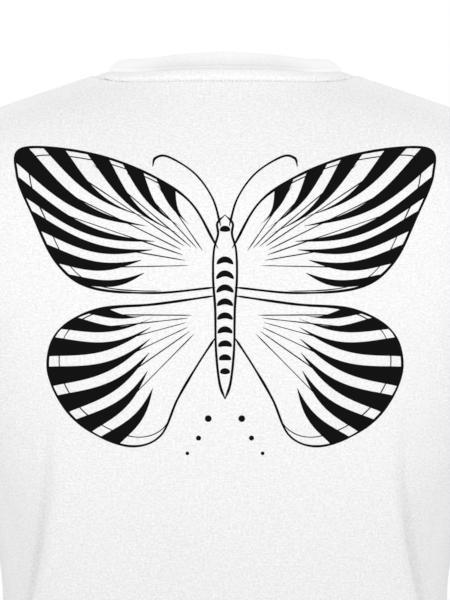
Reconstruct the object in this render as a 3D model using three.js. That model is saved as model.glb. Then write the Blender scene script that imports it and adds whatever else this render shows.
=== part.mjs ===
// A plain white crew-neck T-shirt in its worn shape, shown on a plain display stand.
//
// The shirt is modelled as it hangs on a body: a body tube made of a front and a back panel, two short
// sleeves, folded hems, a rib-knit collar and a neck tape. The stand is a round foot, a post and a
// shoulder bar that carries the shirt under its shoulder seams.
//
// Millimetres, +Z up. The origin is on the floor under the middle of the foot. The wearer's front
// faces -Y, the wearer's back faces +Y, and the shirt is mirror-symmetric in X apart from its folds.

import * as THREE from "three";

// ---------------------------------------------------------------- driving dimensions

const hemHeight = 130; // floor to the lower edge of the hem
const shirtLength = 690; // highest point of the shoulder seam down to the hem
const hemBand = 22; // height of the folded hem
const cloth = 1.0; // thickness of the jersey panels
const doubled = 1.8; // thickness of a folded hem
const gap = 0.35; // clearance between neighbouring pieces

const neckHalf = 86; // half the width of the neck hole at the shoulder seams
const neckBack = 66.8; // neck hole behind the shoulder line
const neckFront = 82; // neck hole in front of the shoulder line
const neckSquareBack = 2; // 2 is an oval, more is squarer
const neckSquareFront = 2.4;
const ribHeight = 15.7; // visible width of the collar
const ribThickness = 2.0;
const tapeHeight = 12;
const ribLift = 0.8; // the collar starts this far above the edge of the panels

const shoulderSlope = 0.325; // fall of the shoulder line, 18 degrees
const shoulderPoint = 212; // half the width across the shoulders
const armpitDrop = 230; // armpit below the shoulder's neck point

const chestHalf = 186; // half widths and depths of the body tube
const flare = 12; // it is wider by this between the armholes
const waistHalf = 164;
const hemHalf = 174;
const bladeBack = 112;
const waistBack = 70;
const hemBack = 84;
const chestFront = 118;
const waistFront = 106;
const hemFront = 108;
const squareLow = 2.9; // 2 is an oval section, more is squarer
const squareBlades = 4.4; // the back is flattest between the armholes
const squareFront = 2.4;
const armholeBack = [3, 76]; // how far the armhole bows in towards the middle, and to the back
const armholeFront = [13, 58];
const creaseFall = 8.5; // the back falls in by this beyond the crease down each side
const creaseDepth = 10;

const sleeveOut = 32; // degrees that the sleeve stands out from the body
const sleeveReach = [267, -10, 577]; // middle of the sleeve where its hem starts
const sleeveHalfWidth = 62;
const sleeveHalfDepth = 51;
const cuffBand = 20; // height of the folded sleeve hem

const footRadius = 125;
const footThickness = 6;
const footEdge = 2; // rounding of the foot's upper edge
const socketRadius = 13;
const socketHeight = 28;
const postRadius = 6.5;
const barReach = 170; // half the length of the shoulder bar
const barHalfDepth = 19;
const barHalfHeight = 8;

// ---------------------------------------------------------------- heights that follow

const neckPoint = hemHeight + shirtLength; // height of the shoulder's neck point
const armpit = neckPoint - armpitDrop;
const shoulderTip = neckPoint - (shoulderPoint - neckHalf) * shoulderSlope;
const bladeHeight = neckPoint - 160;
const chestHeight = neckPoint - 220;
const waistHeight = hemHeight + 295;
const backHollow = hemHeight + 130; // where the back stands nearest to the side seams
const napeRise = 24; // how far the guide line in the neck hole stands above an even one at the back
const throatRise = 17; // and at the front
const napePeak = 2.6; // higher makes the rise narrower
const throatPeak = 2;
const collarboneCrest = 1.29; // above 1, the front falls away faster from the shoulder line

// ---------------------------------------------------------------- small maths

const mix = (a, b, t) => a + (b - a) * t;
const clamp = (t) => Math.min(1, Math.max(0, t));
const ease = (t) => clamp(t) ** 2 * (3 - 2 * clamp(t));
const bump = (t) => Math.exp(-t * t);
const vector = (x, y, z) => new THREE.Vector3(x, y, z);

function span(from, to, count) {
  return Array.from({ length: count + 1 }, (_, i) => mix(from, to, i / count));
}

// Where a function that falls from one place to the other passes zero.
function crossing(value, from, to) {
  let [low, high] = [from, to];
  for (let i = 0; i < 40; i++) {
    const middle = (low + high) / 2;
    if (value(middle) > 0) low = middle;
    else high = middle;
  }
  return low;
}

// A curve given by a function, so that its points can be spaced by their distance along it.
class Line extends THREE.Curve {
  constructor(at) {
    super();
    this.at = at;
  }
  getPoint(t) {
    return this.at(t);
  }
}

// Evenly spaced places on a line that stay clear of its start and of its end by the given lengths.
function evenly(at, cells, before, after) {
  const line = new Line(at);
  const length = line.getLength();
  return span(before, length - after, cells).map((far) => line.getUtoTmapping(0, far));
}

// ---------------------------------------------------------------- shape of the body tube

function halfWidth(z) {
  return z < waistHeight
    ? mix(hemHalf, waistHalf, ease((z - hemHeight) / (waistHeight - hemHeight)))
    : mix(waistHalf, chestHalf, ease((z - waistHeight) / (armpit - waistHeight))) +
        flare * ease((z - armpit - 15) / 60);
}

// How far the middle of a panel stands from the side seams; facing is 1 for the back, -1 for the front.
function depth(z, facing) {
  const [hem, least, full, hollow, fullHeight] =
    facing > 0
      ? [hemBack, waistBack, bladeBack, backHollow, bladeHeight]
      : [hemFront, waistFront, chestFront, waistHeight, chestHeight];
  return z < hollow
    ? mix(hem, least, ease((z - hemHeight) / (hollow - hemHeight)))
    : mix(least, full, ease((z - hollow) / (fullHeight - hollow)));
}

// A squarish oval section.
function section(angle, z, facing) {
  const square = facing > 0 ? mix(squareLow, squareBlades, ease((z - 540) / 120)) : squareFront;
  const across = Math.sin(angle);
  const y = depth(z, facing) * (1 - Math.abs(across) ** square) ** (1 / square);
  return vector(halfWidth(z) * across, facing * (Number.isFinite(y) ? y : 0), z);
}

// ---------------------------------------------------------------- edges of the panels

// The shoulder line as seen from above and from behind. Inside the neck hole it is only a guide.
const ridgeWidth = 156;
const ridgeFlare = 91;

const ridgeX = (angle) => Math.sin(angle) * (ridgeWidth + ridgeFlare * Math.sin(angle) ** 2);

function ridgeZ(x, facing) {
  const inNeck = Math.max(0, 1 - (x / neckHalf) ** 2);
  const outside = Math.max(0, Math.abs(x) - neckHalf);
  const even = neckPoint + ((shoulderSlope * neckHalf) / 2) * inNeck - shoulderSlope * outside;
  return even + (facing > 0 ? napeRise * inNeck ** napePeak : throatRise * inNeck ** throatPeak);
}

// The body is described by an angle round it: 0 at the middle of a panel, 90 degrees at its side seam.
const degree = Math.PI / 180;
const sideAngle = 90 * degree;
const neckAngle = crossing((angle) => neckHalf - ridgeX(angle), 0, sideAngle);
const tipAngle = crossing((angle) => shoulderPoint - ridgeX(angle), 0, sideAngle);

// The armhole, from 0 at the shoulder tip to 1 at the armpit, down the back or down the front.
function armhole(down, facing) {
  const round = Math.sin(Math.PI * down);
  const [inwards, bow] = facing > 0 ? armholeBack : armholeFront;
  return vector(
    mix(shoulderPoint, chestHalf, down) - inwards * round,
    facing * bow * round,
    mix(armpit, shoulderTip, (1 + Math.cos(Math.PI * down)) / 2),
  );
}

// The neck hole as seen from above: how far outside it a point lies, and the way in from its edge.
function neckShape({ y }) {
  return y < 0 ? [neckFront, neckSquareFront] : [neckBack, neckSquareBack];
}

function outsideNeck(point) {
  const [reach, square] = neckShape(point);
  return Math.abs(point.x / neckHalf) ** square + Math.abs(point.y / reach) ** square - 1;
}

function intoNeck(point) {
  const [reach, square] = neckShape(point);
  const slope = (far, size) => (Math.sign(far) * Math.abs(far / size) ** (square - 1)) / size;
  return vector(-slope(point.x, neckHalf), -slope(point.y, reach), 0).normalize();
}

// ---------------------------------------------------------------- columns of a panel

// The line that a panel follows over one angle, from 0 at the hem seam to 1 at its upper edge: straight
// up the body, then a bend over the shoulder. It ends at the neck hole, the shoulder line or the armhole.
const straightShare = 0.55;

function columnLine(angle, facing) {
  const a = Math.abs(angle);
  const back = facing > 0;
  const tipStart = neckPoint - (back ? 105 : 160);
  const centreStart = back ? bladeHeight : chestHeight;
  const down = clamp((a - tipAngle) / (sideAngle - tipAngle));
  let start = mix(centreStart, tipStart, Math.min(1, (a / tipAngle) ** 2));
  let target = vector(ridgeX(a), 0, 0);
  let turn = 90 * degree;
  if (down > 0) {
    target = armhole(down, facing);
    start = target.z - (shoulderTip - tipStart) * (1 - down);
    turn = mix(90, 35, down) * degree;
  } else {
    target.z = ridgeZ(target.x, facing);
  }

  const crest = back ? 1 : mix(collarboneCrest, 1, ease(a / tipAngle));
  const bent = (bend) => {
    const share = (1 - Math.cos(bend) ** crest) / (1 - Math.cos(turn) ** crest);
    const z = mix(start, target.z, (Math.sin(bend) / Math.sin(turn)) ** crest);
    const below = section(a, z, facing);
    return vector(mix(below.x, target.x, share), mix(below.y, target.y, share), z);
  };
  const end = a < neckAngle ? crossing((bend) => outsideNeck(bent(bend)), 0, turn) : turn;

  return (rise) => {
    const at =
      rise < straightShare
        ? section(a, mix(hemHeight + hemBand, start, rise / straightShare), facing)
        : bent((end * (rise - straightShare)) / (1 - straightShare));
    at.x *= Math.sign(angle);
    return at;
  };
}

// ---------------------------------------------------------------- folds of the hanging cloth

// How far the cloth stands out of the smooth shape: it falls in beyond a crease down each side of the
// back, and hangs in soft pipes round the hem and in slack folds across the front.
function folds(angle, z, facing) {
  const side = Math.abs(angle);
  const x = halfWidth(z) * Math.sin(side);
  let out = 0;
  if (facing > 0) {
    const creaseAt = mix(148, 130, clamp((z - 400) / 120));
    const deep = ease((575 - z) / 110) * mix(0.3, 1, ease((z - hemHeight) / 260));
    out -= creaseFall * deep * ease((x - creaseAt + 3) / 15) * ease((halfWidth(z) - x) / 11);
    const valley = creaseDepth * ease((570 - z) / 140) * mix(0.35, 1, ease((z - hemHeight) / 260));
    out -= valley * bump((x - creaseAt) / 4);
    out += 1.2 * deep * bump((x - creaseAt + 12) / 9);
    out += 1.2 * ease((500 - z) / 120) * Math.cos(angle * 7 + 0.9) * (1 - side / sideAngle);
  } else {
    const lean = angle + (z - 560) * 0.0011 * Math.sign(angle);
    out += 2.6 * ease((600 - z) / 160) * Math.cos(lean * 8) * Math.sin(side) ** 2;
  }
  const low = ease((hemHeight + 210 - z) / 210);
  out += 3.2 * low * Math.cos(angle * 6 + facing * 0.7) * Math.cos(angle) ** 0.5;
  return out;
}

// ---------------------------------------------------------------- points on a surface

// Points on one line of a surface, each with the direction that the surface faces there. The family of
// lines is a function of a position, and limit is the furthest position that has a line on both sides.
function surfacePoints(lineAt, position, places, limit = Infinity) {
  const step = 1e-3;
  const near = THREE.MathUtils.clamp(position, step - limit, limit - step);
  const [before, middle, after] = [near - step, position, near + step].map(lineAt);
  return places.map((place) => {
    const t = THREE.MathUtils.clamp(place, step, 1 - step);
    const across = after(t).sub(before(t));
    const along = middle(t + step).sub(middle(t - step));
    return { at: middle(place), normal: across.cross(along).normalize() };
  });
}

// ---------------------------------------------------------------- closed solids from grids

// A closed mesh between an outer and an inner grid of points. round joins the last column to the first.
function closedShell(outer, inner, round = false) {
  const columns = outer.length;
  const rows = outer[0].length;
  const points = [...outer.flat(), ...inner.flat()];
  const index = (c, r, layer) => layer * columns * rows + (c % columns) * rows + r;
  const triangles = [];
  const quad = (a, b, c, d) => triangles.push(a, b, c, a, c, d);
  const lastColumn = round ? columns : columns - 1;
  for (let c = 0; c < lastColumn; c++) {
    for (let r = 0; r < rows - 1; r++) {
      quad(index(c, r, 0), index(c + 1, r, 0), index(c + 1, r + 1, 0), index(c, r + 1, 0));
      quad(index(c, r, 1), index(c, r + 1, 1), index(c + 1, r + 1, 1), index(c + 1, r, 1));
    }
    quad(index(c, 0, 1), index(c + 1, 0, 1), index(c + 1, 0, 0), index(c, 0, 0));
    const top = rows - 1;
    quad(index(c, top, 0), index(c + 1, top, 0), index(c + 1, top, 1), index(c, top, 1));
  }
  if (!round) {
    const end = columns - 1;
    for (let r = 0; r < rows - 1; r++) {
      quad(index(0, r, 0), index(0, r + 1, 0), index(0, r + 1, 1), index(0, r, 1));
      quad(index(end, r, 1), index(end, r + 1, 1), index(end, r + 1, 0), index(end, r, 0));
    }
  }
  const geometry = new THREE.BufferGeometry().setFromPoints(points);
  geometry.setIndex(triangles);
  return outward(geometry);
}

// Turns the faces round if they point inwards.
function outward(geometry) {
  const p = geometry.getAttribute("position");
  const order = geometry.getIndex();
  const [a, b, c] = [vector(), vector(), vector()];
  let volume = 0;
  for (let i = 0; i < order.count; i += 3) {
    a.fromBufferAttribute(p, order.getX(i));
    b.fromBufferAttribute(p, order.getX(i + 1));
    c.fromBufferAttribute(p, order.getX(i + 2));
    volume += a.dot(b.cross(c));
  }
  if (volume < 0) geometry.setIndex([...order.array].reverse());
  return geometry;
}

// ---------------------------------------------------------------- front and back panels

const neckCells = 6; // columns over half the neck, one shoulder seam and one armhole
const shoulderCells = 6;
const armholeCells = 7;
const panelCells = 15; // rows from the hem to the upper edge
const sideGap = 0.0006; // angle that keeps the two panels apart at the side seams

const panelAngles = [
  ...span(0, neckAngle, neckCells).slice(0, -1),
  ...span(neckAngle, tipAngle, shoulderCells).slice(0, -1),
  ...span(tipAngle, sideAngle - sideGap, armholeCells),
];
const mirroredAngles = [...panelAngles.slice(1).reverse().map((a) => -a), ...panelAngles];

// The rows of one column. The last cell has the height of the neck tape.
function columnOf(angle, facing) {
  const lineAt = (a) => columnLine(a, facing);
  const rises = evenly(lineAt(angle), panelCells, 0, gap + tapeHeight);
  const [, top] = evenly(lineAt(angle), 1, 0, gap);
  const points = surfacePoints(lineAt, angle, [...rises, top], sideAngle - sideGap);
  for (const { at, normal } of points) {
    normal.multiplyScalar(-facing);
    at.addScaledVector(normal, folds(angle, at.z, facing));
  }
  return points;
}

function panelGeometry(facing) {
  const outer = [];
  const inner = [];
  for (const angle of mirroredAngles) {
    const column = columnOf(angle, facing);
    outer.push(column.map(({ at }) => at));
    inner.push(column.map(({ at, normal }) => at.clone().addScaledVector(normal, -cloth)));
  }
  return closedShell(outer, inner);
}

// ---------------------------------------------------------------- hem round the body

function hemGeometry() {
  const outer = [];
  const inner = [];
  const rows = [hemHeight, hemHeight + hemBand - 2.5 * gap];
  for (const turn of span(0, 2 * Math.PI, 48).slice(0, -1)) {
    const facing = Math.cos(turn) >= 0 ? 1 : -1;
    const angle = Math.asin(THREE.MathUtils.clamp(Math.sin(turn), -1, 1));
    const out = [];
    const into = [];
    for (const z of rows) {
      const at = section(angle, z, facing);
      const lean = vector(at.x / hemHalf ** 2, at.y / hemBack ** 2, 0).normalize();
      at.addScaledVector(lean, folds(angle, z, facing) + 0.2);
      out.push(at);
      into.push(at.clone().addScaledVector(lean, -doubled));
    }
    outer.push(out);
    inner.push(into);
  }
  return closedShell(outer, inner, true);
}

// ---------------------------------------------------------------- sleeves

// A direction in the plane of the shoulders, some degrees out from straight down.
const pointing = (out) => vector(Math.sin(out * degree), 0, -Math.cos(out * degree));

const sleeveAlong = pointing(sleeveOut);
const sleeveAcross = pointing(sleeveOut + 90);
const sleeveCells = 7; // rows from the armhole to the sleeve hem
const armholeGap = 2.2; // the sleeve and the panels meet here at a sharp angle
const armholeTurns = span(0, 2 * Math.PI, 2 * armholeCells).slice(0, -1);

// The oval of the sleeve at its hem, as a direction from its middle line.
const ovalAt = (turn, width, depth) =>
  sleeveAcross.clone().multiplyScalar(width * Math.cos(turn)).add(vector(0, depth * Math.sin(turn), 0));

// A line of the +X sleeve from the armhole to its hem. turn runs from 0 at the shoulder tip, down the
// back to half a turn at the armpit, and up the front.
function sleeveLine(turn) {
  const wrapped = THREE.MathUtils.euclideanModulo(turn, 2 * Math.PI);
  const behind = wrapped <= Math.PI;
  const start = armhole((behind ? wrapped : 2 * Math.PI - wrapped) / Math.PI, behind ? 1 : -1);
  const end = vector(...sleeveReach).add(ovalAt(turn, sleeveHalfWidth, sleeveHalfDepth));
  const shoulder = (1 + Math.cos(turn)) / 2;
  const leaving = pointing(mix(50, 62, shoulder)).multiplyScalar(mix(12, 62, shoulder));
  const arriving = sleeveAlong.clone().multiplyScalar(mix(14, 70, shoulder));
  const [first, second] = [start.clone().add(leaving), end.clone().sub(arriving)];
  const curve = new THREE.CubicBezierCurve3(start, first, second, end);
  return (along) => curve.getPoint(along);
}

function sleeveFolds(turn, along) {
  const under = (1 - Math.cos(turn)) / 2;
  return 2.4 * Math.sin(Math.PI * along) * Math.cos(turn * 4 + along * 2.2) * under;
}

// side is 1 for the +X sleeve and -1 for the other.
function sleeveGeometry(side) {
  const outer = [];
  const inner = [];
  for (const turn of armholeTurns) {
    const alongs = evenly(sleeveLine(turn), sleeveCells, armholeGap, 0);
    const points = surfacePoints(sleeveLine, turn, alongs);
    points.forEach(({ at, normal }, i) => {
      at.addScaledVector(normal, sleeveFolds(turn, alongs[i]));
      at.x *= side;
      normal.x *= side;
    });
    outer.push(points.map(({ at }) => at));
    inner.push(points.map(({ at, normal }) => at.clone().addScaledVector(normal, -cloth)));
  }
  return closedShell(outer, inner, true);
}

function cuffGeometry(side) {
  const outer = [];
  const inner = [];
  for (const turn of armholeTurns) {
    const at = sleeveLine(turn)(1);
    const normal = ovalAt(turn, 1 / sleeveHalfWidth, 1 / sleeveHalfDepth).normalize();
    const ends = [gap, cuffBand].map((far) => at.clone().addScaledVector(sleeveAlong, far));
    const shifted = (far) =>
      ends.map((end) => end.clone().addScaledVector(normal, far).multiply(vector(side, 1, 1)));
    outer.push(shifted(0.2));
    inner.push(shifted(0.2 - doubled));
  }
  return closedShell(outer, inner, true);
}

// ---------------------------------------------------------------- rib collar and neck tape

// The collar rises from the neck seam and curls in towards the neck, most of all at the shoulders.
function ribLine(seam, share) {
  const inward = intoNeck(seam);
  const [reach] = neckShape(seam);
  const front = clamp((1 - seam.y / reach) / 2); // 0 at the back, 1 at the front
  const lean = (36 + 39 * Math.sqrt(front) - 25 * ease((front - 0.35) / 0.65)) * degree;
  const curl = (-18 + 54 * ease(front / 0.42) - 30 * ease((front - 0.55) / 0.45)) * degree;
  const [first, last] = [lean - curl, lean + curl];
  const at = seam.clone().add(vector(0, 0, ribLift));
  const steps = 8;
  for (let i = 0; i < steps * share; i++) {
    const tilt = mix(first, last, (i + 0.5) / steps);
    at.addScaledVector(inward, (Math.sin(tilt) * ribHeight) / steps);
    at.z += (Math.cos(tilt) * ribHeight) / steps;
  }
  const tilt = mix(first, last, share);
  const normal = inward.multiplyScalar(-Math.cos(tilt)).add(vector(0, 0, Math.sin(tilt)));
  return { at, normal };
}

// The neck seam once round, with a point at each column of the panels.
function neckSeam() {
  const neckAngles = mirroredAngles.filter((a) => Math.abs(a) < neckAngle + sideGap);
  const back = neckAngles.map((a) => columnLine(a, 1)(1));
  const front = neckAngles.slice(1, -1).map((a) => columnLine(a, -1)(1));
  return [...back, ...front.reverse()];
}

function ribGeometry() {
  const outer = [];
  const inner = [];
  for (const seam of neckSeam()) {
    const column = [0, 0.5, 1].map((share) => ribLine(seam, share));
    outer.push(column.map(({ at }) => at));
    inner.push(column.map(({ at, normal }) => at.clone().addScaledVector(normal, -ribThickness)));
  }
  return closedShell(outer, inner, true);
}

// A narrow strip inside the back of the neck, which covers the collar seam from shoulder to shoulder.
function tapeGeometry() {
  const outer = [];
  const inner = [];
  for (const angle of mirroredAngles.filter((a) => Math.abs(a) < neckAngle * 0.99)) {
    const column = columnOf(angle, 1).slice(-2);
    const deep = (far) =>
      column.map(({ at, normal }) => at.clone().addScaledVector(normal, -cloth - far));
    outer.push(deep(gap));
    inner.push(deep(gap + 0.8));
  }
  return closedShell(outer, inner);
}

// ---------------------------------------------------------------- display stand

// A solid turned from its outline, given as pairs of radius and height.
function turned(outline, sides) {
  const points = outline.map(([radius, height]) => new THREE.Vector2(radius, height));
  return new THREE.LatheGeometry(points, sides).rotateX(Math.PI / 2);
}

// A round foot with a rounded upper edge and a socket for the post.
function footGeometry() {
  const bore = postRadius + gap;
  const floor = footThickness / 2; // the bottom of the socket
  const fillet = 3;
  const rim = span(0, 90, 3).map((turn) => [
    footRadius - footEdge + footEdge * Math.cos(turn * degree),
    footThickness - footEdge + footEdge * Math.sin(turn * degree),
  ]);
  return turned(
    [
      [0, 0],
      [footRadius - 0.6, 0],
      [footRadius, 0.6],
      ...rim,
      [socketRadius + fillet, footThickness],
      [socketRadius + fillet / 3, footThickness + fillet / 3],
      [socketRadius, footThickness + fillet],
      [socketRadius, socketHeight - 1],
      [socketRadius - 1, socketHeight],
      [bore, socketHeight],
      [bore, floor],
      [0, floor],
    ],
    40,
  );
}

// Height of the bar's middle line: under the shoulder seams outside the neck, and low inside it.
function barLine(x) {
  const under = cloth + 1.6 + barHalfHeight;
  const slope = neckPoint - (Math.abs(x) - neckHalf) * shoulderSlope - under;
  const top = neckPoint - 6 - under;
  const soft = 14;
  return (slope + top) / 2 - Math.hypot((slope - top) / 2, soft / 2) + soft * 0.02;
}

function postGeometry() {
  const bottom = footThickness / 2 + gap;
  const top = barLine(0) - barHalfHeight - gap;
  const chamfer = 1;
  return turned(
    [
      [0, bottom],
      [postRadius - chamfer, bottom],
      [postRadius, bottom + chamfer],
      [postRadius, top - chamfer],
      [postRadius - chamfer, top],
      [0, top],
    ],
    20,
  );
}

// The shoulder bar: an oval section swept along the bar line, slimmer and rounded at its ends.
function barGeometry() {
  const around = 14;
  const rings = span(-1, 1, 26).map((t) => {
    const x = barReach * Math.sin((t * Math.PI) / 2);
    const slim = Math.sqrt(Math.max(1 - Math.abs(t) ** 7, 0.02));
    return span(0, 2 * Math.PI, around)
      .slice(0, -1)
      .map((turn) =>
        vector(
          x,
          barHalfDepth * slim * Math.cos(turn),
          barLine(x) + barHalfHeight * slim * Math.sin(turn),
        ),
      );
  });
  const points = rings.flat();
  const triangles = [];
  for (let r = 0; r < rings.length - 1; r++) {
    for (let i = 0; i < around; i++) {
      const j = (i + 1) % around;
      const [a, b] = [r * around + i, r * around + j];
      triangles.push(a, b, b + around, a, b + around, a + around);
    }
  }
  for (const [ring, flip] of [
    [0, false],
    [rings.length - 1, true],
  ]) {
    const middle = points.push(rings[ring][0].clone().lerp(rings[ring][around / 2], 0.5)) - 1;
    for (let i = 0; i < around; i++) {
      const pair = [ring * around + i, ring * around + ((i + 1) % around)];
      triangles.push(middle, ...(flip ? pair : pair.reverse()));
    }
  }
  const geometry = new THREE.BufferGeometry().setFromPoints(points);
  geometry.setIndex(triangles);
  return outward(geometry);
}

// ---------------------------------------------------------------- materials and the model

const jersey = new THREE.MeshStandardMaterial({ color: 0xf2f2f1, roughness: 0.92, metalness: 0 });
const rib = new THREE.MeshStandardMaterial({ color: 0xf0f0ef, roughness: 0.95, metalness: 0 });
const tape = new THREE.MeshStandardMaterial({ color: 0xe8e8e6, roughness: 0.9, metalness: 0 });
const steel = new THREE.MeshStandardMaterial({ color: 0xc9cacb, roughness: 0.32, metalness: 0.9 });
const beech = new THREE.MeshStandardMaterial({ color: 0xd9b98c, roughness: 0.5, metalness: 0 });

const shirt = new THREE.Group();

function add(name, geometry, material) {
  const mesh = new THREE.Mesh(geometry, material);
  mesh.name = name;
  shirt.add(mesh);
}

add("back_panel", panelGeometry(1), jersey);
add("front_panel", panelGeometry(-1), jersey);
add("hem", hemGeometry(), jersey);
for (const [name, side] of [
  ["left", 1],
  ["right", -1],
]) {
  add(`sleeve_${name}`, sleeveGeometry(side), jersey);
  add(`sleeve_hem_${name}`, cuffGeometry(side), jersey);
}
add("collar_rib", ribGeometry(), rib);
add("neck_tape", tapeGeometry(), tape);
add("stand_foot", footGeometry(), steel);
add("stand_post", postGeometry(), steel);
add("stand_shoulder_bar", barGeometry(), beech);

export default shirt;
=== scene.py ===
import math
import bpy
import numpy as np
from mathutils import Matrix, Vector
from mathutils.bvhtree import BVHTree


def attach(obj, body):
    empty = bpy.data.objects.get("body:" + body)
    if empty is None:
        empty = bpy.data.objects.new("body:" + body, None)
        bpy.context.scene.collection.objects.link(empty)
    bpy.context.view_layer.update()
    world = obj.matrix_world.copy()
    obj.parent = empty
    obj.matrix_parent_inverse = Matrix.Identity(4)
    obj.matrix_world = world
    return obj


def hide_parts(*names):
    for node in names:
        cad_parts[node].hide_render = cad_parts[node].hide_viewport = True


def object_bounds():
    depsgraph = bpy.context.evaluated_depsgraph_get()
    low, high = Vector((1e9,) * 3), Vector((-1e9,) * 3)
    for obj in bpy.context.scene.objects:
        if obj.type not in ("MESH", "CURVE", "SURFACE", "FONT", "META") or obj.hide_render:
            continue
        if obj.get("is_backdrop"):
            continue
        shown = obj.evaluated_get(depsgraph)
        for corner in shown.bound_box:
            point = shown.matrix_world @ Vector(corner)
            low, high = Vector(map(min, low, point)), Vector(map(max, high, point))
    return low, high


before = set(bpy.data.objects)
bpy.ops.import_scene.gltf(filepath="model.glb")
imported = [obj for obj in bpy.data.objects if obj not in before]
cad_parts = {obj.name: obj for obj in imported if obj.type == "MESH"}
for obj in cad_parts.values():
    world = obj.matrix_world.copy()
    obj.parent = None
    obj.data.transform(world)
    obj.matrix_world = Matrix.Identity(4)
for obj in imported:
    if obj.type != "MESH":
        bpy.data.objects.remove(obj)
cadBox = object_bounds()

# The shirt is worked out in millimetres: +Z up, its front to -Y, its back to +Y, the wearer's left to +X.
mm = 0.001

shirt = {
    "hem": 130,  # floor to the lower edge
    "length": 690,  # shoulder's neck point down to the hem
    "hemBand": 22,
    "cloth": 0.8,
    "neckHalf": 86,
    "neckReach": (82, 66.8),  # such pairs are for the front and the back
    "neckSquare": (2.4, 2.0),
    "neckRise": (17, 24),
    "neckPeak": (2.0, 2.6),  # higher makes that rise narrower
    "crest": (1.29, 1.0),  # above 1, the cloth falls away faster from the shoulder line
    "slope": 0.325,
    "shoulderPoint": 212,
    "armpitDrop": 230,
    "halfWidth": (174, 164, 186),  # hem, waist, chest
    "flare": 12,  # wider by this between the armholes
    "depth": ((108, 106, 118), (84, 70, 112)),
    "fullDrop": (220, 160),  # where the depth is greatest, below the neck point
    "tipDrop": (160, 105),
    "waist": 295,  # above the hem
    "hollow": (295, 130),  # where the depth is least, above the hem
    "square": ((2.4, 2.4), (2.9, 4.4)),  # how boxy its section is, low down and at the chest
    "squareFrom": 540,  # mm up, and over this many more it gets there
    "squareOver": 120,
    "ridge": (156, 91),  # how fast the upper edge goes sideways, at first and then
    "holeBow": ((13, -58), (3, 76)),  # how far an armhole bows inwards, and off the middle
}
neckPoint = shirt["hem"] + shirt["length"]
armpit = neckPoint - shirt["armpitDrop"]
waist = shirt["hem"] + shirt["waist"]
hemSeam = shirt["hem"] + shirt["hemBand"]
shoulderTip = neckPoint - (shirt["shoulderPoint"] - shirt["neckHalf"]) * shirt["slope"]
sideAngle = math.pi / 2
straightShare = 0.55


def mix(a, b, t):
    return a + (b - a) * t


def ease(t):
    t = np.clip(t, 0, 1)
    return t * t * (3 - 2 * t)


def bump(t):
    return np.exp(-t * t)


def stack(x, y, z):
    return np.stack(np.broadcast_arrays(x, y, z), -1).astype(float)


def unit(v):
    return v / np.maximum(np.linalg.norm(v, axis=-1, keepdims=True), 1e-12)


def crossing(value, low, high):  # where a falling function passes zero
    for _ in range(40):
        middle = (low + high) / 2
        above = value(middle) > 0
        low = np.where(above, middle, low)
        high = np.where(above, high, middle)
    return low


def runOut(points):  # distance along the first axis
    step = np.linalg.norm(np.diff(points, axis=0), axis=-1)
    return np.concatenate([np.zeros((1,) + step.shape[1:]), np.cumsum(step, axis=0)])


def readAt(far, run, values):  # values along a line, read at some distances
    return np.stack([np.interp(far, run, part) for part in values.T], -1)


def unevenness(u, v, size, seed):  # smooth random relief from -1 to 1, size is its scale in mm
    lattice = np.random.default_rng(seed).uniform(-1, 1, (64, 64))
    u, v = np.asarray(u) / size + 100, np.asarray(v) / size + 100
    i, j = np.floor(u).astype(int), np.floor(v).astype(int)
    s, t = ease(u - i), ease(v - j)
    corner = lambda di, dj: lattice[(i + di) % 64, (j + dj) % 64]
    return mix(mix(corner(0, 0), corner(1, 0), s), mix(corner(0, 1), corner(1, 1), s), t)


# The body tube: an angle runs round it, 0 at the middle of a panel and 90 degrees at its side seam.


def waisted(z, sizes, narrow, top):  # sizes at the hem, at the narrow height and at the top
    hem, mid, full = sizes
    lower = mix(hem, mid, ease((z - shirt["hem"]) / (narrow - shirt["hem"])))
    return np.where(z < narrow, lower, mix(mid, full, ease((z - narrow) / (top - narrow))))


def halfWidth(z):
    return waisted(z, shirt["halfWidth"], waist, armpit) + shirt["flare"] * ease((z - armpit - 15) / 60)


def depth(z, back):
    hollow, full = shirt["hem"] + shirt["hollow"][back], neckPoint - shirt["fullDrop"][back]
    return waisted(z, shirt["depth"][back], hollow, full)


def section(angle, z, back):
    square = mix(*shirt["square"][back], ease((z - shirt["squareFrom"]) / shirt["squareOver"]))
    across = np.sin(angle)
    y = depth(z, back) * np.maximum(1 - np.abs(across) ** square, 0) ** (1 / square)
    return halfWidth(z) * across, y if back else -y


def ridgeX(angle):
    first, then = shirt["ridge"]
    return np.sin(angle) * (first + then * np.sin(angle) ** 2)


def ridgeZ(x, back):
    inNeck = np.maximum(0, 1 - (x / shirt["neckHalf"]) ** 2)
    outside = np.maximum(0, np.abs(x) - shirt["neckHalf"])
    even = neckPoint + shirt["slope"] * (shirt["neckHalf"] / 2 * inNeck - outside)
    return even + shirt["neckRise"][back] * inNeck ** shirt["neckPeak"][back]


neckAngle = float(crossing(lambda a: shirt["neckHalf"] - ridgeX(a), 0.0, sideAngle))
tipAngle = float(crossing(lambda a: shirt["shoulderPoint"] - ridgeX(a), 0.0, sideAngle))


def armhole(down, back):  # from 0 at the shoulder tip to 1 at the armpit
    inwards, aside = shirt["holeBow"][back]
    bow = np.sin(math.pi * down)
    x = mix(shirt["shoulderPoint"], shirt["halfWidth"][2], down) - inwards * bow
    return x, aside * bow, mix(armpit, shoulderTip, (1 + np.cos(math.pi * down)) / 2)


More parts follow.
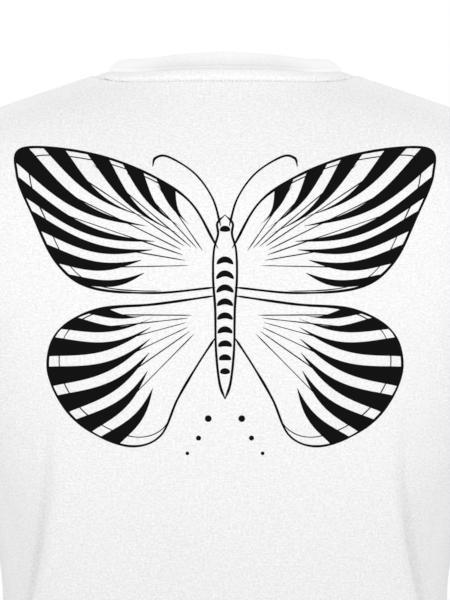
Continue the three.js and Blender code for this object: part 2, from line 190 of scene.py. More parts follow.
def bodyPoints(angle, rise, back):  # rise runs from 0 at the hem seam to 1 at the upper edge
    a = np.abs(angle)
    down = np.clip((a - tipAngle) / (sideAngle - tipAngle), 0, 1)
    onArm = down > 0
    tipStart = neckPoint - shirt["tipDrop"][back]
    start = mix(neckPoint - shirt["fullDrop"][back], tipStart, np.minimum(1, (a / tipAngle) ** 2))
    hole, ridge = armhole(down, back), (ridgeX(a), 0, ridgeZ(ridgeX(a), back))
    start = np.where(onArm, hole[2] - (shoulderTip - tipStart) * (1 - down), start)
    topX, topY, topZ = (np.where(onArm, *pair) for pair in zip(hole, ridge))
    turn = np.where(onArm, np.radians(mix(90, 35, down)), math.pi / 2)
    crest = mix(shirt["crest"][back], 1, ease(a / tipAngle))

    def bent(bend):
        share = (1 - np.maximum(np.cos(bend), 0) ** crest) / (1 - np.maximum(np.cos(turn), 0) ** crest)
        z = mix(start, topZ, (np.sin(bend) / np.sin(turn)) ** crest)
        x, y = section(a, z, back)
        return mix(x, topX, share), mix(y, topY, share), z

    def outsideNeck(bend):
        x, y, _ = bent(bend)
        square, reach = shirt["neckSquare"][back], shirt["neckReach"][back]
        return (x / shirt["neckHalf"]) ** square + np.abs(y / reach) ** square - 1

    end = np.where(a < neckAngle, crossing(outsideNeck, 0 * turn, turn), turn)
    z = mix(hemSeam, start, rise / straightShare)
    lower = (*section(a, z, back), z)
    upper = bent(end * np.clip((rise - straightShare) / (1 - straightShare), 0, 1))
    x, y, z = (np.where(rise < straightShare, *pair) for pair in zip(lower, upper))
    return stack(x * np.sign(angle), y, z)


crease = {
    "at": 130,  # mm from the middle of the back
    "drift": (4.5, 1.5),  # further out lower down
    "step": 8.5,  # how much deeper the cloth lies beyond it
    "valley": 12,
    "ridge": 1.2,
}
waves = {"back": 1.2, "front": 2.6, "hem": 3.2}


def folds(angle, z, back):  # how far the hanging cloth stands out of the smooth shape
    side = np.abs(angle)
    x = halfWidth(z) * np.sin(side)
    up = z - shirt["hem"]
    if back:
        lower = np.clip((520 - z) / 40, 0, 2.3)
        off = x - (crease["at"] + crease["drift"][0] * lower + crease["drift"][1] * lower**2)
        deep = ease((575 - z) / 110) * mix(0.3, 1, ease(up / 260))
        valley = crease["valley"] * ease((585 - z) / 145) * mix(0.35, 1, ease(up / 260))
        out = -crease["step"] * deep * ease((off + 3) / 15) * ease((halfWidth(z) - x) / 11)
        out = out + crease["ridge"] * deep * bump((off + 12) / 9) - valley * bump(off / 4)
        out = out + waves["back"] * ease((500 - z) / 120) * np.cos(angle * 7 + 0.9) * (1 - side / sideAngle)
    else:
        lean = angle + (z - 560) * 0.0011 * np.sign(angle)
        out = waves["front"] * ease((600 - z) / 160) * np.cos(lean * 8) * np.sin(side) ** 2
    turned = np.cos(angle * 6 + (0.7 if back else -0.7))
    out = out + waves["hem"] * ease((210 - up) / 210) * turned * np.sqrt(np.maximum(np.cos(angle), 0))
    return out * ease((sideAngle - side) / 0.12)


# Pieces are laid out as grids: the rows run down the piece, the columns across or round it.


def facings(points, around=False):
    along = np.gradient(points, axis=0)
    if around:
        across = (np.roll(points, -1, 1) - np.roll(points, 1, 1)) / 2
    else:
        across = np.gradient(points, axis=1)
    return unit(np.cross(across, along))


def onLeft(points):  # every point, or its mirror image on the wearer's left
    return np.concatenate([np.abs(points[..., :1]), points[..., 1:]], -1)


def toLine(points, line):  # distance from each point of a grid to a line of short straight pieces
    start, way = line[:-1], np.diff(line, axis=0)
    squared = np.maximum((way**2).sum(-1), 1e-9)
    near = []
    for row in points:
        gap = row[:, None] - start[None]
        share = np.clip((gap * way).sum(-1) / squared, 0, 1)
        near.append(np.linalg.norm(gap - share[..., None] * way, axis=-1).min(1))
    return np.array(near)


def choose(piece):
    bpy.ops.object.select_all(action="DESELECT")
    piece.select_set(True)
    bpy.context.view_layer.objects.active = piece


def modify(piece, kind, **settings):
    choose(piece)
    modifier = piece.modifiers.new(kind.lower(), kind)
    for key, value in settings.items():
        setattr(modifier, key, value)
    bpy.ops.object.modifier_apply(modifier=modifier.name)


def faceOut(piece):
    choose(piece)
    bpy.ops.object.mode_set(mode="EDIT")
    bpy.ops.mesh.select_all(action="SELECT")
    bpy.ops.mesh.normals_make_consistent(inside=False)
    bpy.ops.object.mode_set(mode="OBJECT")


def place(name, data):
    made = bpy.data.objects.new(name, data)
    bpy.context.collection.objects.link(made)
    return made


def newPiece(name, points, faces, finish, uv=None, edges=()):
    mesh = bpy.data.meshes.new(name)
    mesh.from_pydata((np.asarray(points).reshape(-1, 3) * mm).tolist(), edges, faces)
    if uv is not None:
        mesh.uv_layers.new(name="knit").data.foreach_set("uv", uv.astype(np.float32).ravel())
    mesh.shade_smooth()
    mesh.materials.append(finish)
    return place(name, mesh)


# uv is in mm, with one more column or row than the points where the grid joins up with itself.
def gridPiece(name, points, outward, uv, finish, around=False, closed=False, thick=0, doubled=None):
    rows, columns = points.shape[:2]
    r = np.arange(rows if closed else rows - 1)
    c = np.arange(columns if around else columns - 1)
    r, c = (part.ravel() for part in np.meshgrid(r, c, indexing="ij"))
    corners = [(r, c), (r, c + 1), (r + 1, c + 1), (r + 1, c)]
    faces = np.stack([(i % rows) * columns + j % columns for i, j in corners], -1)
    places = np.stack([uv[i, j] for i, j in corners], 1)
    flat = points.reshape(-1, 3)
    facing = np.cross(flat[faces[:, 1]] - flat[faces[:, 0]], flat[faces[:, 3]] - flat[faces[:, 0]])
    if (facing * outward.reshape(-1, 3)[faces[:, 0]]).sum() < 0:
        faces, places = faces[:, ::-1], places[:, ::-1]
    piece = newPiece(name, points, faces.tolist(), finish, places)
    if doubled is not None:  # 1 where two layers of cloth lie together, which looks whiter; above 1, and on the upper back, it is painted highlight
        layers = np.broadcast_to(doubled, (rows, columns)).astype(np.float32)
        piece.data.attributes.new("doubled", "FLOAT", "POINT").data.foreach_set("value", layers.ravel())
    if thick:
        modify(piece, "SOLIDIFY", thickness=thick * mm, offset=-1)
    return piece


def bandUv(points, across):  # mm round a closed band and mm down it
    down = runOut(points[:, :1])[:, 0]
    down = np.append(down, down[-1] + 1)
    return np.stack(np.broadcast_arrays(across[None], down[:, None]), -1)


def rowsBelow(far, shares, settings):  # mm of each row below the upper edge, and its share of each column
    near = settings["seamRows"][:, None] + 0 * far[:1]
    rest = np.linspace(0, 1, settings["rows"] - len(near) + 1)[1:, None]
    fromTop = np.concatenate([near, mix(near[-1], far[-1], rest)])
    return fromTop, np.stack([np.interp(a, b, shares) for a, b in zip(fromTop.T, far.T)], 1)


# Materials. A Wire is a socket that can be used in sums, a Finish is a material under way.


def operator(operation):
    return lambda self, *others: self.reckon(operation, self, *others)


class Wire:
    def __init__(self, finish, socket):
        self.finish, self.socket = finish, socket

    def reckon(self, operation, *parts):
        return self.finish.node("ShaderNodeMath", {"operation": operation}, dict(enumerate(parts)))

    def __rsub__(self, other):
        return self.reckon("SUBTRACT", other, self)

    __add__ = __radd__ = operator("ADD")
    __sub__ = operator("SUBTRACT")
    __mul__ = __rmul__ = operator("MULTIPLY")
    __truediv__ = operator("DIVIDE")
    __abs__ = operator("ABSOLUTE")
    fraction = operator("FRACT")
    sine = operator("SINE")
    root = operator("SQRT")


class Finish:
    def __init__(self, name, roughness, specular=0.5, **constants):
        constants.update(Roughness=roughness, Specular_IOR_Level=specular)
        self.material = bpy.data.materials.new(name)
        self.material.use_nodes = True
        self.nodes = self.material.node_tree.nodes
        self.shader = self.nodes["Principled BSDF"]
        for key, value in constants.items():
            self.feed(self.shader.inputs[key.replace("_", " ")], value)

    def feed(self, socket, value):
        if isinstance(value, Wire):
            self.material.node_tree.links.new(value.socket, socket)
        else:
            socket.default_value = value

    def node(self, kind, settings, inputs, output=0):
        made = self.nodes.new(kind)
        for key, value in settings.items():
            setattr(made, key, value)
        for key, value in inputs.items():
            self.feed(made.inputs[key], value)
        return Wire(self, made.outputs[output])

    def split(self, vector):
        first = self.node("ShaderNodeSeparateXYZ", {}, {0: vector})
        return [Wire(self, socket) for socket in first.socket.node.outputs]

    def metres(self):  # in the piece's own frame
        return self.split(self.node("ShaderNodeTexCoord", {}, {}, "Object"))

    def millimetres(self):  # across and down the cloth
        return self.split(self.node("ShaderNodeUVMap", {"uv_map": "knit"}, {}))[:2]

    def noise(self, x, y, z, detail=2.0, roughness=0.5):
        vector = self.node("ShaderNodeCombineXYZ", {}, {0: x, 1: y, 2: z})
        sizes = {"Vector": vector, "Scale": 1.0, "Detail": detail, "Roughness": roughness}
        return self.node("ShaderNodeTexNoise", {}, sizes)

    def slope(self, value, start, end):  # 0 at the start and 1 at the end
        sizes = {0: value, 1: start, 2: end, 3: 0.0, 4: 1.0}
        return self.node("ShaderNodeMapRange", {"interpolation_type": "SMOOTHSTEP"}, sizes)

    def blend(self, share, first, second):
        return self.node("ShaderNodeMix", {"data_type": "RGBA"}, {0: share, 6: first, 7: second}, 2)

    def finish(self, colour, height, lift, roughness=None):
        self.feed(self.shader.inputs["Base Color"], colour)
        if roughness is not None:
            self.feed(self.shader.inputs["Roughness"], roughness)
        relief = self.node("ShaderNodeBump", {}, {"Height": height, "Distance": lift * mm, "Strength": 1.0})
        self.feed(self.shader.inputs["Normal"], relief)
        return self.material


def shade(level, warmth=0.0):
    return (level + warmth, level, level - warmth, 1)


# Rows of small V-shaped loops, 0 in the gaps and 1 on the crowns.
def knitLoops(finish, u, v, wale, course):
    off = abs((u / wale).fraction() - 0.5) * 2
    loop = ((v / course + off * 0.5) * (2 * math.pi)).sine() * 0.3 + 0.7
    return (1 - off * off) * loop


softFibres = {"Sheen_Weight": 0.06, "Sheen_Roughness": 0.45}
jerseySizes = {"wale": 0.74, "course": 0.58, "white": 0.84, "mottle": 0.13, "doubled": 0.2, "depth": 0.07}


def makeJersey():
    cloth = Finish("jersey", 0.9, 0.22, **softFibres)
    u, v = cloth.millimetres()
    drift = cloth.noise(u / 9, v / 9, 0.0)
    loops = knitLoops(cloth, u + drift * 0.5, v + drift * 0.3, jerseySizes["wale"], jerseySizes["course"])
    specks = cloth.noise(u / 1.8, v / 1.55, 3.0, 2.0, 0.6)
    clouds = cloth.noise(u / 7, v / 6, 5.0)
    slubs = cloth.noise(u / 9, v / 0.9, 7.0, 1.0)  # thicker yarns along single courses
    lines = cloth.noise(u / 0.9, v / 11, 11.0, 1.0)  # wales that stand a little apart
    uneven = specks * 0.64 + clouds * 0.06 + slubs * 0.15 + lines * 0.15
    low, high = (shade(jerseySizes["white"] * (1 + part * jerseySizes["mottle"]), 0.001) for part in (-1, 1))
    height = loops * 0.7 + uneven * 3.0
    # the whiter tone where cloth is doubled, which also carries painted highlight along the shoulder ledge
    # and the upper back
    doubled = cloth.node("ShaderNodeAttribute", {"attribute_name": "doubled"}, {}, "Fac")
    x, _, z = cloth.metres()
    # painted shade: the cloth is made darker lower down, and across the middle of the upper back
    below = cloth.slope(z, 0.60, 0.42)
    above = cloth.slope(z, 0.722, 0.75) * cloth.slope(z, 0.815, 0.79) * cloth.slope(abs(x), 0.17, 0.08)
    level = uneven * 2.6 - 0.8 + doubled * jerseySizes["doubled"] - below * 0.17 - above * 0.13
    return cloth.finish(cloth.blend(level, low, high), height, jerseySizes["depth"])


def makeRibKnit():
    cloth = Finish("ribKnit", 0.92, 0.2, **softFibres)
    u, v = cloth.millimetres()
    loops = knitLoops(cloth, u, v, 0.70, 0.62)
    uneven = cloth.noise(u / 2.5, v / 1.6, 1.0, 3.0, 0.6)
    x = cloth.metres()[0]
    # painted shade and highlight: darker at the foot of the rib and lighter towards its fold, and lighter
    # towards the sides of the neck; uneven is random tone
    level = uneven * 0.35 + cloth.slope(v, 2, 20) * 0.45 + cloth.slope(abs(x), 0.036, 0.072) * 0.7
    colour = cloth.blend(level, shade(0.815, 0.001), shade(0.96, 0.001))
    return cloth.finish(colour, loops + uneven * 1.5, 0.07)


def makeTape():  # a herringbone weave
    cloth = Finish("neckTape", 0.85, 0.25)
    u, v = cloth.millimetres()
    zigzag = abs((u / 5.0).fraction() - 0.5) * 5.0
    rows = (((v + zigzag) / 0.8) * (2 * math.pi)).sine() * 0.5 + 0.5
    uneven = cloth.noise(u / 2.0, v / 2.0, 5.0, 3.0)
    return cloth.finish(cloth.blend(rows * 0.7 + uneven * 0.3, shade(0.74), shade(0.84)), rows, 0.12)


def makeThread():
    yarn = Finish("thread", 0.6, 0.35, Sheen_Weight=0.1)
    x, y, z = yarn.metres()
    twist = ((x + y + z) * 15000).sine() * 0.5 + 0.5
    uneven = yarn.noise(x * 300, y * 300, z * 300)
    return yarn.finish(yarn.blend(uneven, shade(0.82), shade(0.9)), twist, 0.02)


# painted shadow: a near-black colour for flat lenses that stand in for the shade where threads go into the
# cloth
def makeStitchShadow():
    dent = Finish("paintedStitchShadow", 0.95, 0.05)
    x, y, z = dent.metres()
    fuzz = dent.noise(x * 2500, y * 2500, z * 2500)
    return dent.finish(dent.blend(fuzz, shade(0.12), shade(0.22)), fuzz, 0.03)


def makeInk():
    ink = Finish("printInk", 0.72, 0.04)
    u, v = ink.millimetres()
    loops = knitLoops(ink, u, v, jerseySizes["wale"], jerseySizes["course"])
    wear = ink.noise(u / 1.1, v / 1.1, 2.0, 3.0, 0.6)
    colour = ink.blend(wear * loops, shade(0.003), shade(0.008))
    return ink.finish(colour, loops, 0.05, 0.62 + 0.2 * wear)


def makeSteel():
    steel = Finish("brushedSteel", 0.3, Metallic=1.0)
    x, y, z = steel.metres()
    rings = steel.noise((x * x + y * y).root() * 2600, z * 1400, 0.0, 2.0, 0.7)
    clouds = steel.noise(x * 30, y * 30, z * 30, 3.0)
    colour = steel.blend(rings * 0.6 + clouds * 0.4, (0.50, 0.50, 0.51, 1), (0.66, 0.66, 0.665, 1))
    return steel.finish(colour, rings, 0.015, 0.24 + 0.16 * rings + 0.06 * clouds)


def makeBeech():
    wood = Finish("beech", 0.45, 0.4, Coat_Weight=0.15, Coat_Roughness=0.3)
    x, y, z = wood.metres()
    bend = wood.noise(x * 5, y * 14, z * 14)
    grain = wood.noise(x * 9, (y + bend * 0.02) * 130, (z + bend * 0.015) * 130, 4.0, 0.6)
    flecks = wood.noise(x * 160, y * 900, z * 900)
    marks = flecks.reckon("SMOOTH_MIN", flecks * 2.2 - 0.75, 1.0, 0.1)
    pale = wood.blend(grain * 1.5 - 0.25, (0.46, 0.27, 0.13, 1), (0.70, 0.49, 0.29, 1))
    colour = wood.blend(marks * 0.25, pale, (0.36, 0.19, 0.09, 1))
    return wood.finish(colour, grain * 0.6 + flecks * 0.4, 0.05, 0.40 + 0.15 * grain)


jersey, ribKnit, tapeWeave, yarn = makeJersey(), makeRibKnit(), makeTape(), makeThread()
stitchShadow, ink, steel, beech = makeStitchShadow(), makeInk(), makeSteel(), makeBeech()
print("finishes made")


# Front and back panels.

panel = {
    "columns": 113,  # over half the panel
    "rows": 211,
    "seamRows": np.array(  # mm below the upper edge
        [0, 0.3, 0.6, 0.9, 1.3, 1.8, 2.5, 3.4, 4.4, 5.4, 6.4, 7.4, 8.3, 9.0, 9.5, 9.8, 10.1, 10.35, 10.6]
        + [10.85, 11.1, 11.4, 11.8, 12.35, 13.0, 13.9, 15.1] + [16.6 + 1.4 * i for i in range(13)] + [35, 37]
    ),
    "puff": 1.7,  # the folded allowance between the neck seam and its row of stitches
    "stitchDrop": 10.6,
    "wider": 2.2,  # and this much more just behind the shoulder
    "stitchRows": 90,  # of the grid, which hold all of it
    "dent": (0.5, 1.4),  # depth of its groove at the shoulder and away from it
    "dentWidth": (1.5, 0.65),
    "allowance": (0.15, 0.8),  # the ledge beside the shoulder seam
    "grooves": {  # depth and width of a seam's groove, then of the swell beside it
        "arm": (0.85, 1.3, 0.3, 3.2),
        "side": (0.6, 1.4, 0.22, 3),
    },
}


def columnAngles():  # as even as the hem and the upper edge together allow, with one at each corner
    fine = np.linspace(0, sideAngle, 1500)
    low, top = (runOut(bodyPoints(fine, 0 * fine + rise, True)) for rise in (0.3, 1))
    corner = np.cumsum(bump((fine - neckAngle) / 0.06))
    length = low / low[-1] + 0.8 * top / top[-1] + 0.3 * corner / corner[-1]
    even = np.interp(np.linspace(0, length[-1], panel["columns"]), length, fine)
    for turning in (neckAngle, tipAngle):
        even[np.argmin(np.abs(even - turning))] = turning
    # more of them where the neck line turns sharply
    sharp = neckAngle * np.array([0.994, 0.9965, 0.998, 0.9991, 0.9996])
    even = np.sort(np.append(even, sharp))
    return np.concatenate([-even[:0:-1], even])


angles = columnAngles()
halfTurn = runOut(bodyPoints(angles, 0 * angles + 0.3, True))
across = halfTurn - halfTurn[len(angles) // 2]  # mm from the middle of the panel

edge = lambda low, high, back: bodyPoints(np.linspace(low, high, 160), np.ones(160), back)
seams = {  # on the wearer's left only, the other side is its mirror image
    "neck": np.concatenate([edge(0, neckAngle, True), edge(neckAngle, 0, False)]),
    "shoulder": edge(neckAngle, tipAngle, True),
    "arm": np.concatenate([edge(tipAngle, sideAngle, True), edge(sideAngle, tipAngle, False)]),
    "side": bodyPoints(np.full(120, sideAngle), np.linspace(0, 1, 120), True),
}


def softFold(u, z, start, end, width, height):  # a soft ridge with a valley on each side
    start, end = np.array(start, float), np.array(end, float)
    way = end - start
    share = ((u - start[0]) * way[0] + (z - start[1]) * way[1]) / (way @ way)
    off = ((u - start[0]) * way[1] - (z - start[1]) * way[0]) / math.sqrt(way @ way)
    taper = ease(share / 0.45) * ease((1 - share) / 0.45)
    return height * taper * (1.35 - (off / width) ** 2) * bump(off / width)


panelFolds = {
    True: [  # start and end as mm across and mm up, width, height
        ((44, 560), (48, 300), 26, -1.6),
        ((8, 600), (2, 330), 30, 0.9),
        ((-62, 500), (-52, 230), 30, 1.3),
        ((178, 560), (120, 640), 12, 1.6),
        ((-178, 566), (-116, 652), 12, 1.6),
        ((-20, 330), (-34, 150), 26, 1.6),
        ((70, 300), (84, 150), 26, 1.8),
    ],
    False: [
        ((196, 600), (92, 470), 15, 4.6),
        ((-196, 604), (-100, 462), 15, 4.4),
        ((200, 560), (118, 400), 14, 3.3),
        ((-200, 552), (-112, 408), 14, 3.5),
        ((196, 636), (120, 566), 11, 2.5),
        ((-196, 640), (-126, 560), 11, 2.4),
        ((60, 470), (46, 200), 26, 3.2),
        ((-54, 480), (-70, 190), 28, 3.4),
        ((4, 440), (-8, 160), 30, 2.6),
        ((150, 330), (110, 160), 22, 3.3),
        ((-150, 320), (-118, 150), 22, 3.3),
    ],
}


def seamDrop(shoulder, back):  # from the neck seam to its row of stitches, wider just behind the shoulder
    return panel["stitchDrop"] + back * panel["wider"] * bump((shoulder - 33) / 16)


def seamRelief(points, back):
    near = {name: toLine(onLeft(points), line) for name, line in seams.items()}
    neck, shoulder = near["neck"], near["shoulder"]
    drop = seamDrop(shoulder, back)
    uneven = 1 + 0.22 * unevenness(points[..., 0], points[..., 1], 7, 4)
    clear = ease((shoulder - 8) / 40)  # the seam flattens towards the shoulder line
    full = panel["puff"] * mix(0.12, 1, clear)
    rising = 0.45 * ease(neck / 1.8) + 0.55 * ease(neck / 6.6)
    out = full * uneven * (rising - ease((neck - drop + 2.7) / 2.7))
    dent = mix(*panel["dent"], clear) * bump((neck - drop) / mix(*panel["dentWidth"], clear))
    out = out - 0.8 * bump(neck / 0.9) - dent + 0.3 * bump((neck - drop - 2.6) / 1.8)
    away = ease((neck - drop) / 3)
    allowance = panel["allowance"][back] * mix(1, 0.3, ease((np.abs(points[..., 0]) - 110) / 70))
    ledge = ease(shoulder / 1.4) - ease((shoulder - 6) / 1.6) - 0.4 * bump((shoulder - 8) / 1.1)
    out = out + away * (allowance * ledge - 0.75 * bump(shoulder / 1.2))
    for name, (deep, narrow, high, broad) in panel["grooves"].items():
        out = out - deep * bump(near[name] / narrow) + high * bump((near[name] - 4.5) / broad)
    # how much whiter the cloth is made: real double layers in the neck band, the shoulder ledge and the
    # armhole allowance, and painted highlight that doubles the ledge's share
    doubled = np.maximum(ease((drop - neck) / 0.8), 2 * away * ease((6.6 - shoulder) / 1.2))
    doubled = np.maximum(doubled, 1.3 * away * ease((60 - shoulder) / 34))  # painted highlight on the single cloth of the upper back near the shoulder line
    return out, np.maximum(doubled, 0.6 * ease((7 - near["arm"]) / 1.5))


def layPanel(back):
    rises = np.concatenate([np.linspace(0, straightShare, 90)[:-1], np.linspace(straightShare, 1, 260)])[::-1]
    far = runOut(bodyPoints(angles[None], rises[:, None], back))
    fromTop, rise = rowsBelow(far, rises, panel)
    points = bodyPoints(angles[None], rise, back)
    outward = facings(points) * (1 if back else -1)
    outward[:, [0, -1], 1] = 0
    onShoulder = (np.abs(angles) >= neckAngle) & (np.abs(angles) <= tipAngle)
    outward[0, onShoulder, 1] = 0
    outward = unit(outward)
    u = across + 0 * fromTop
    z = points[..., 2]
    out = folds(angles[None], z, back)
    for start, end, width, height in panelFolds[back]:
        out = out + softFold(u, z, start, end, width, height) * ease((sideAngle - np.abs(angles)) / 0.2)
    calm = ease((fromTop - 11) / 30)
    out = out + calm * (0.55 * unevenness(u, z, 58, 7 + back) + 0.22 * unevenness(u, z, 21, 9 + back))
    relief, doubled = seamRelief(points, back)
    out = out * ease(fromTop / 40) + relief
    laid = points + outward * out[..., None]
    name = "shirt_back" if back else "shirt_front"
    uv = np.stack([u, far[-1] - fromTop], -1)
    piece = gridPiece(name, laid, outward, uv, jersey, thick=shirt["cloth"], doubled=doubled)
    return piece, laid, outward


backPiece, backGrid, backOut = layPanel(True)
frontPiece, frontGrid, frontOut = layPanel(False)
print("panels laid")


# Sleeves.

sleeve = {
    "folds": (2.4, 1.6, 0.5),
    "out": 32,  # degrees that it stands out from straight down
    "reach": np.array([267, -10, 577]),  # middle of its end, where the folded hem starts
    "half": (62, 51),
    "cuff": 20,
    "rows": 96,
    "seamRows": np.array([0, 0.6, 1.2, 1.9, 2.7, 3.6, 4.8, 6.2, 7.8, 9.8, 12]),
}


def pointing(out):
    return stack(np.sin(np.radians(out)), 0 * out, -np.cos(np.radians(out)))


sleeveDown = pointing(sleeve["out"])
sleeveAcross = pointing(sleeve["out"] + 90)


def ovalAt(turn, width, depth):
    return sleeveAcross * width * np.cos(turn)[..., None] + stack(0, depth * np.sin(turn), 0)


def sleevePoints(turn, along):  # turn: 0 at the shoulder tip, down the back, half a turn at the armpit
    behind = turn <= math.pi
    down = np.where(behind, turn, 2 * math.pi - turn) / math.pi
    start = np.where(behind[..., None], stack(*armhole(down, True)), stack(*armhole(down, False)))
    end = sleeve["reach"] + ovalAt(turn, *sleeve["half"])
    shoulder = (1 + np.cos(turn)) / 2
    first = start + pointing(mix(50, 62, shoulder)) * mix(12, 62, shoulder)[..., None]
    second = end - sleeveDown * mix(14, 70, shoulder)[..., None]
    t = along[..., None]
    curve = start * (1 - t) ** 3 + 3 * first * t * (1 - t) ** 2 + 3 * second * t**2 * (1 - t)
    return curve + end * t**3


def sleeveFolds(turn, along):
    under = (1 - np.cos(turn)) / 2
    middle = np.sin(math.pi * along)
    lengthways, across, soft = sleeve["folds"]
    out = lengthways * middle * np.cos(turn * 4 + along * 2.2) * under
    slack = bump((along - 0.42 - 0.16 * np.cos(turn)) / 0.12)
    slack = slack - 0.6 * bump((along - 0.66 - 0.12 * np.cos(turn)) / 0.12)
    return out + across * slack * middle * under + soft * middle * np.sin(turn * 3 + 1)


armDowns = (angles[angles >= tipAngle] - tipAngle) / (sideAngle - tipAngle)
backTurns = np.interp(np.arange(0, len(armDowns) - 0.4, 0.5), np.arange(len(armDowns)), armDowns) * math.pi
turns = np.concatenate([backTurns, 2 * math.pi - backTurns[-2:0:-1]])


# The folded bands of the sleeves and the hem.
band = {"fold": 0.85, "top": -1.5, "stitches": (1.0, 7.4), "dent": 0.3}


def bandProfile(height):  # mm below the upper edge, mm inwards, and if it is on the outside
    radius, top = band["fold"], band["top"]
    downs = [0.0, 0.4, 0.8, 1.2, 1.7, 2.6, 4.0, 5.6, 6.6, 7.0, 7.4, 7.8, 8.3, 9.5, 12, 15]
    outer = [(d, 0.0, True) for d in downs + [height - 2.2, height - 0.95]]
    curve = np.radians(range(18, 163, 18))
    fold = [(height - radius + radius * math.sin(t), radius - radius * math.cos(t), True) for t in curve]
    inner = [(d, 2 * radius, False) for d in (height - 0.95, height - 4, 12.0, 7.4, 4.0, top)]
    return outer + fold + inner + [(top, 0.95, False)]


def bandRelief(down):
    dents = sum(bump((down - stitches) / 0.5) for stitches in band["stitches"])
    return 0.16 * bump((down - 4.2) / 2) - band["dent"] * dents


# at(down) gives a ring of points and their outward directions, some mm below the band's edge.
def layBand(name, at, height, relief, across):
    rings, facing = [], []
    for down, inward, outer in bandProfile(height):
        points, outward = at(down)
        rings.append(points + outward * ((relief(down) if outer else 0) - inward))
        facing.append(outward * (1 if inward < band["fold"] else -1))
    points, rows = np.stack(rings), []
    uv = bandUv(points, across)
    piece = gridPiece(name, points, np.stack(facing), uv, jersey, around=True, closed=True, doubled=0.8)
    for down in band["stitches"]:
        points, outward = at(down)
        row = (points + outward * relief(down), outward)
        rows.append([np.concatenate([part, part[:1]]) for part in row])
    return piece, rows


def laySleeve(side):
    rises = np.linspace(0, 1, 300)
    far = runOut(sleevePoints(turns[None] + 0 * rises[:, None], rises[:, None] + 0 * turns[None]))
    fromTop, along = rowsBelow(far, rises, sleeve)
    turn = turns[None] + 0 * along
    points = sleevePoints(turn, along)
    outward = facings(points, around=True)
    outward = outward * np.sign((outward[-1] * ovalAt(turns, 1, 1)).sum())
    u = runOut(np.concatenate([points[-1], points[-1, :1]]))
    underSeam = np.abs(u[:-1] - np.interp(math.pi, turns, u[:-1]))[None]
    out = sleeveFolds(turn, along) * ease(fromTop / 30)
    out = out + 0.3 * unevenness(u[:-1][None] + 0 * along, fromTop, 26, 31 + side) * np.sin(math.pi * along)
    fade = ease((far[-1][None] - fromTop) / 4)
    out = out - 0.9 * bump(fromTop / 1.3) + 0.45 * bump((fromTop - 4.5) / 3)
    out = out - 0.45 * bump(underSeam / 1.8) * fade
    laid = points + outward * out[..., None]
    tuck = laid[:1] - 2.2 * unit(laid[3:4] - laid[:1]) - 0.9 * outward[:1]  # under the edge of the panels
    laid = np.concatenate([tuck, laid])
    outward = np.concatenate([outward[:1], outward])
    v = np.concatenate([-2 + 0 * fromTop[:1], fromTop])
    v = np.concatenate([v, v[:, :1]], 1)
    uv = np.stack([u[None] + 0 * v, v], -1)
    flip = np.array([side, 1, 1])
    name = "left" if side > 0 else "right"
    laid, outward, name = laid * flip, outward * flip, f"shirt_sleeve_{name}"
    piece = gridPiece(name, laid, outward, uv, jersey, around=True, thick=shirt["cloth"])
    edgeOut = unit(ovalAt(turns, 1 / sleeve["half"][0], 1 / sleeve["half"][1]))
    at = lambda down: (laid[-1] + sleeveDown * down * flip, edgeOut * flip)
    return piece, *layBand(name.replace("sleeve", "cuff"), at, sleeve["cuff"], bandRelief, u)


leftSleeve, leftCuff, leftRows = laySleeve(1)
rightSleeve, rightCuff, rightRows = laySleeve(-1)
print("sleeves laid")


# The folded hem follows the lower edge of both panels.

hemEdge = np.concatenate([backGrid[-1], frontGrid[-1, -2:0:-1]])
hemOut = np.concatenate([backOut[-1], frontOut[-1, -2:0:-1]])
hemU = runOut(np.concatenate([hemEdge, hemEdge[:1]]))
hemAngles = np.concatenate([angles, angles[-2:0:-1]])
hemBack = np.arange(len(hemAngles)) < len(angles)


def hemAt(down):
    shift = []
    for back in (True, False):
        x, y = section(hemAngles, hemSeam - down, back)
        x0, y0 = section(hemAngles, hemSeam, back)
        shift.append(stack(x - x0, y - y0, -down))
    return hemEdge + np.where(hemBack[:, None], *shift), unit(hemOut * [1, 1, 0])


def hemRelief(down):
    rope = 0.10 * np.sin(hemU[:-1] / 1.7 + down * 0.5) * unevenness(hemU[:-1], 0, 30, 5)
    wave = 0.35 * unevenness(hemU[:-1], down, 16, 6) * ease(down / 6) * ease(np.array((22 - down) / 6) + 0.3)
    return (bandRelief(down) + rope + wave)[:, None]


hemPiece, hemRows = layBand("shirt_hem", hemAt, shirt["hemBand"], hemRelief, hemU)
print("hem laid")


# Rib collar: a band of rib knit folded along its upper edge, which curls in towards the neck.

collar = {
    "height": 15.7,
    "thick": 2.0,
    "lift": 0.8,
    "ribs": 360,
    "perRib": 6,
    "ribDepth": 0.2,
    "foot": -0.14,  # how far it reaches below the seam, as a share of its height
    "roll": 0.8,  # of the band just above the seam
    "inset": (1.1, 0.3),  # its foot stands this far behind the seam at the back, and at the sides
    "lean": (36, 34, 25),  # degrees inwards at the middle of the back, more at the sides, less in front
    "curl": (-18, 54, 30),  # bent outwards at the middle of the back, inwards at the sides, less in front
}


def neckRing(count):  # evenly spaced points round the neck seam, first to the wearer's left
    half = seams["neck"]
    line = np.concatenate([half, half[-2::-1] * [-1, 1, 1]])
    run = runOut(line)
    even = np.linspace(0, run[-1], count + 1)[:-1]
    return readAt(even, run, line), even


def intoNeck(points):
    back = points[:, 1] >= 0
    pairs = shirt["neckSquare"], shirt["neckReach"]
    square, reach = (np.where(back, pair[1], pair[0]) for pair in pairs)
    slope = lambda far, size: np.sign(far) * np.abs(far / size) ** (square - 1) / size
    way = stack(-slope(points[:, 0], shirt["neckHalf"]), -slope(points[:, 1], reach), 0)
    return unit(way), reach


